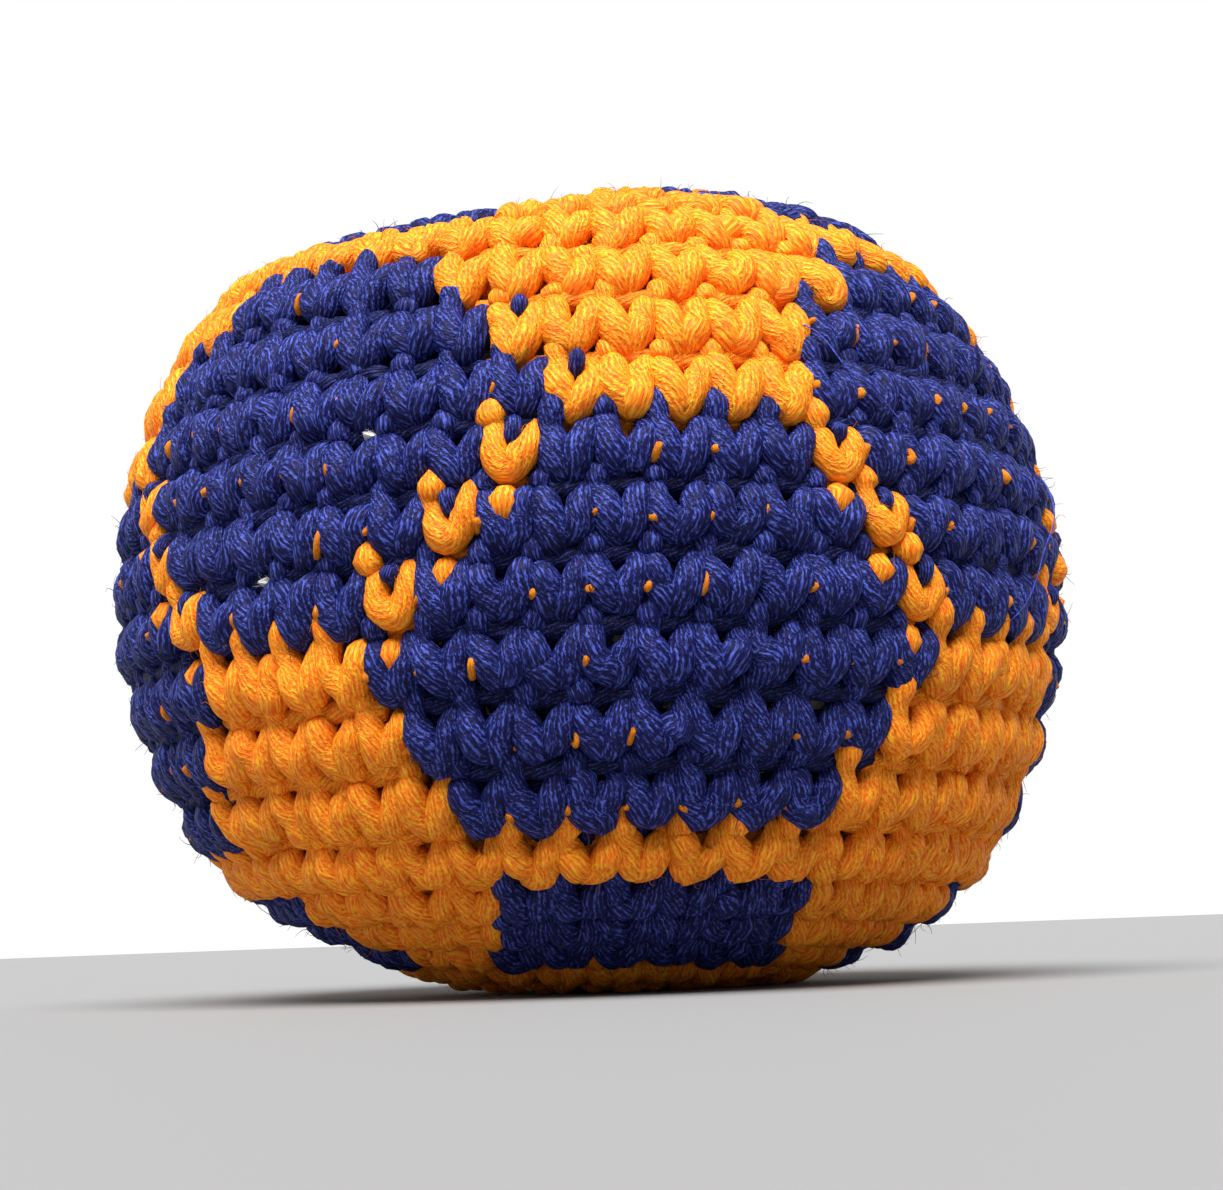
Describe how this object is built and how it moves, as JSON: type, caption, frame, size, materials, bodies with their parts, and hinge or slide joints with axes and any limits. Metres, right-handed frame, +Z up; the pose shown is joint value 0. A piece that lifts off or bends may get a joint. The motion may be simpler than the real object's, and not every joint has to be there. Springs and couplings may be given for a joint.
{
  "type": "crocheted juggling ball",
  "caption": "Crocheted juggling ball in orange and navy yarn with a pentagon and hexagon pattern, settled on a flat foot, filled with loose pellets.",
  "frame": {"origin": "centre of the flat foot, on the axis of the rounds of stitches", "axes": "+Z up along the axis of the rounds, -Y towards the front, +X to the right"},
  "size_m": [0.065, 0.065, 0.0551],
  "materials": {
    "orange_yarn": "matte cotton yarn",
    "navy_yarn": "matte cotton yarn",
    "liner_knit": "fine knitted cloth",
    "tie_thread": "matte thread",
    "pellet_plastic": "satin"
  },
  "bodies": {
    "root": {"belt_lines": "orange_yarn", "bottom_cap": "orange_yarn", "bottom_hexagon_1": "navy_yarn", "bottom_hexagon_2": "navy_yarn", "bottom_hexagon_3": "navy_yarn", "bottom_hexagon_4": "navy_yarn", "closing_loop": "orange_yarn", "filling_pellets": "pellet_plastic", "liner_bag": "liner_knit", "liner_tie": "tie_thread", "lower_belt_hexagon_1": "navy_yarn", "lower_belt_hexagon_2": "navy_yarn", "lower_belt_hexagon_3": "navy_yarn", "lower_belt_hexagon_4": "navy_yarn", "lower_line": "orange_yarn", "lower_pentagon_1": "orange_yarn", "lower_pentagon_2": "orange_yarn", "lower_pentagon_3": "orange_yarn", "lower_pentagon_4": "orange_yarn", "navy_end_tail": "navy_yarn", "navy_start_tail": "navy_yarn", "orange_end_tail": "orange_yarn", "orange_start_tail": "orange_yarn", "start_ring": "orange_yarn", "top_cap": "orange_yarn", "top_hexagon_1": "navy_yarn", "top_hexagon_2": "navy_yarn", "top_hexagon_3": "navy_yarn", "top_hexagon_4": "navy_yarn", "upper_belt_hexagon_1": "navy_yarn", "upper_belt_hexagon_2": "navy_yarn", "upper_belt_hexagon_3": "navy_yarn", "upper_belt_hexagon_4": "navy_yarn", "upper_line": "orange_yarn", "upper_pentagon_1": "orange_yarn", "upper_pentagon_2": "orange_yarn", "upper_pentagon_3": "orange_yarn", "upper_pentagon_4": "orange_yarn"}
  },
  "joints": []
}
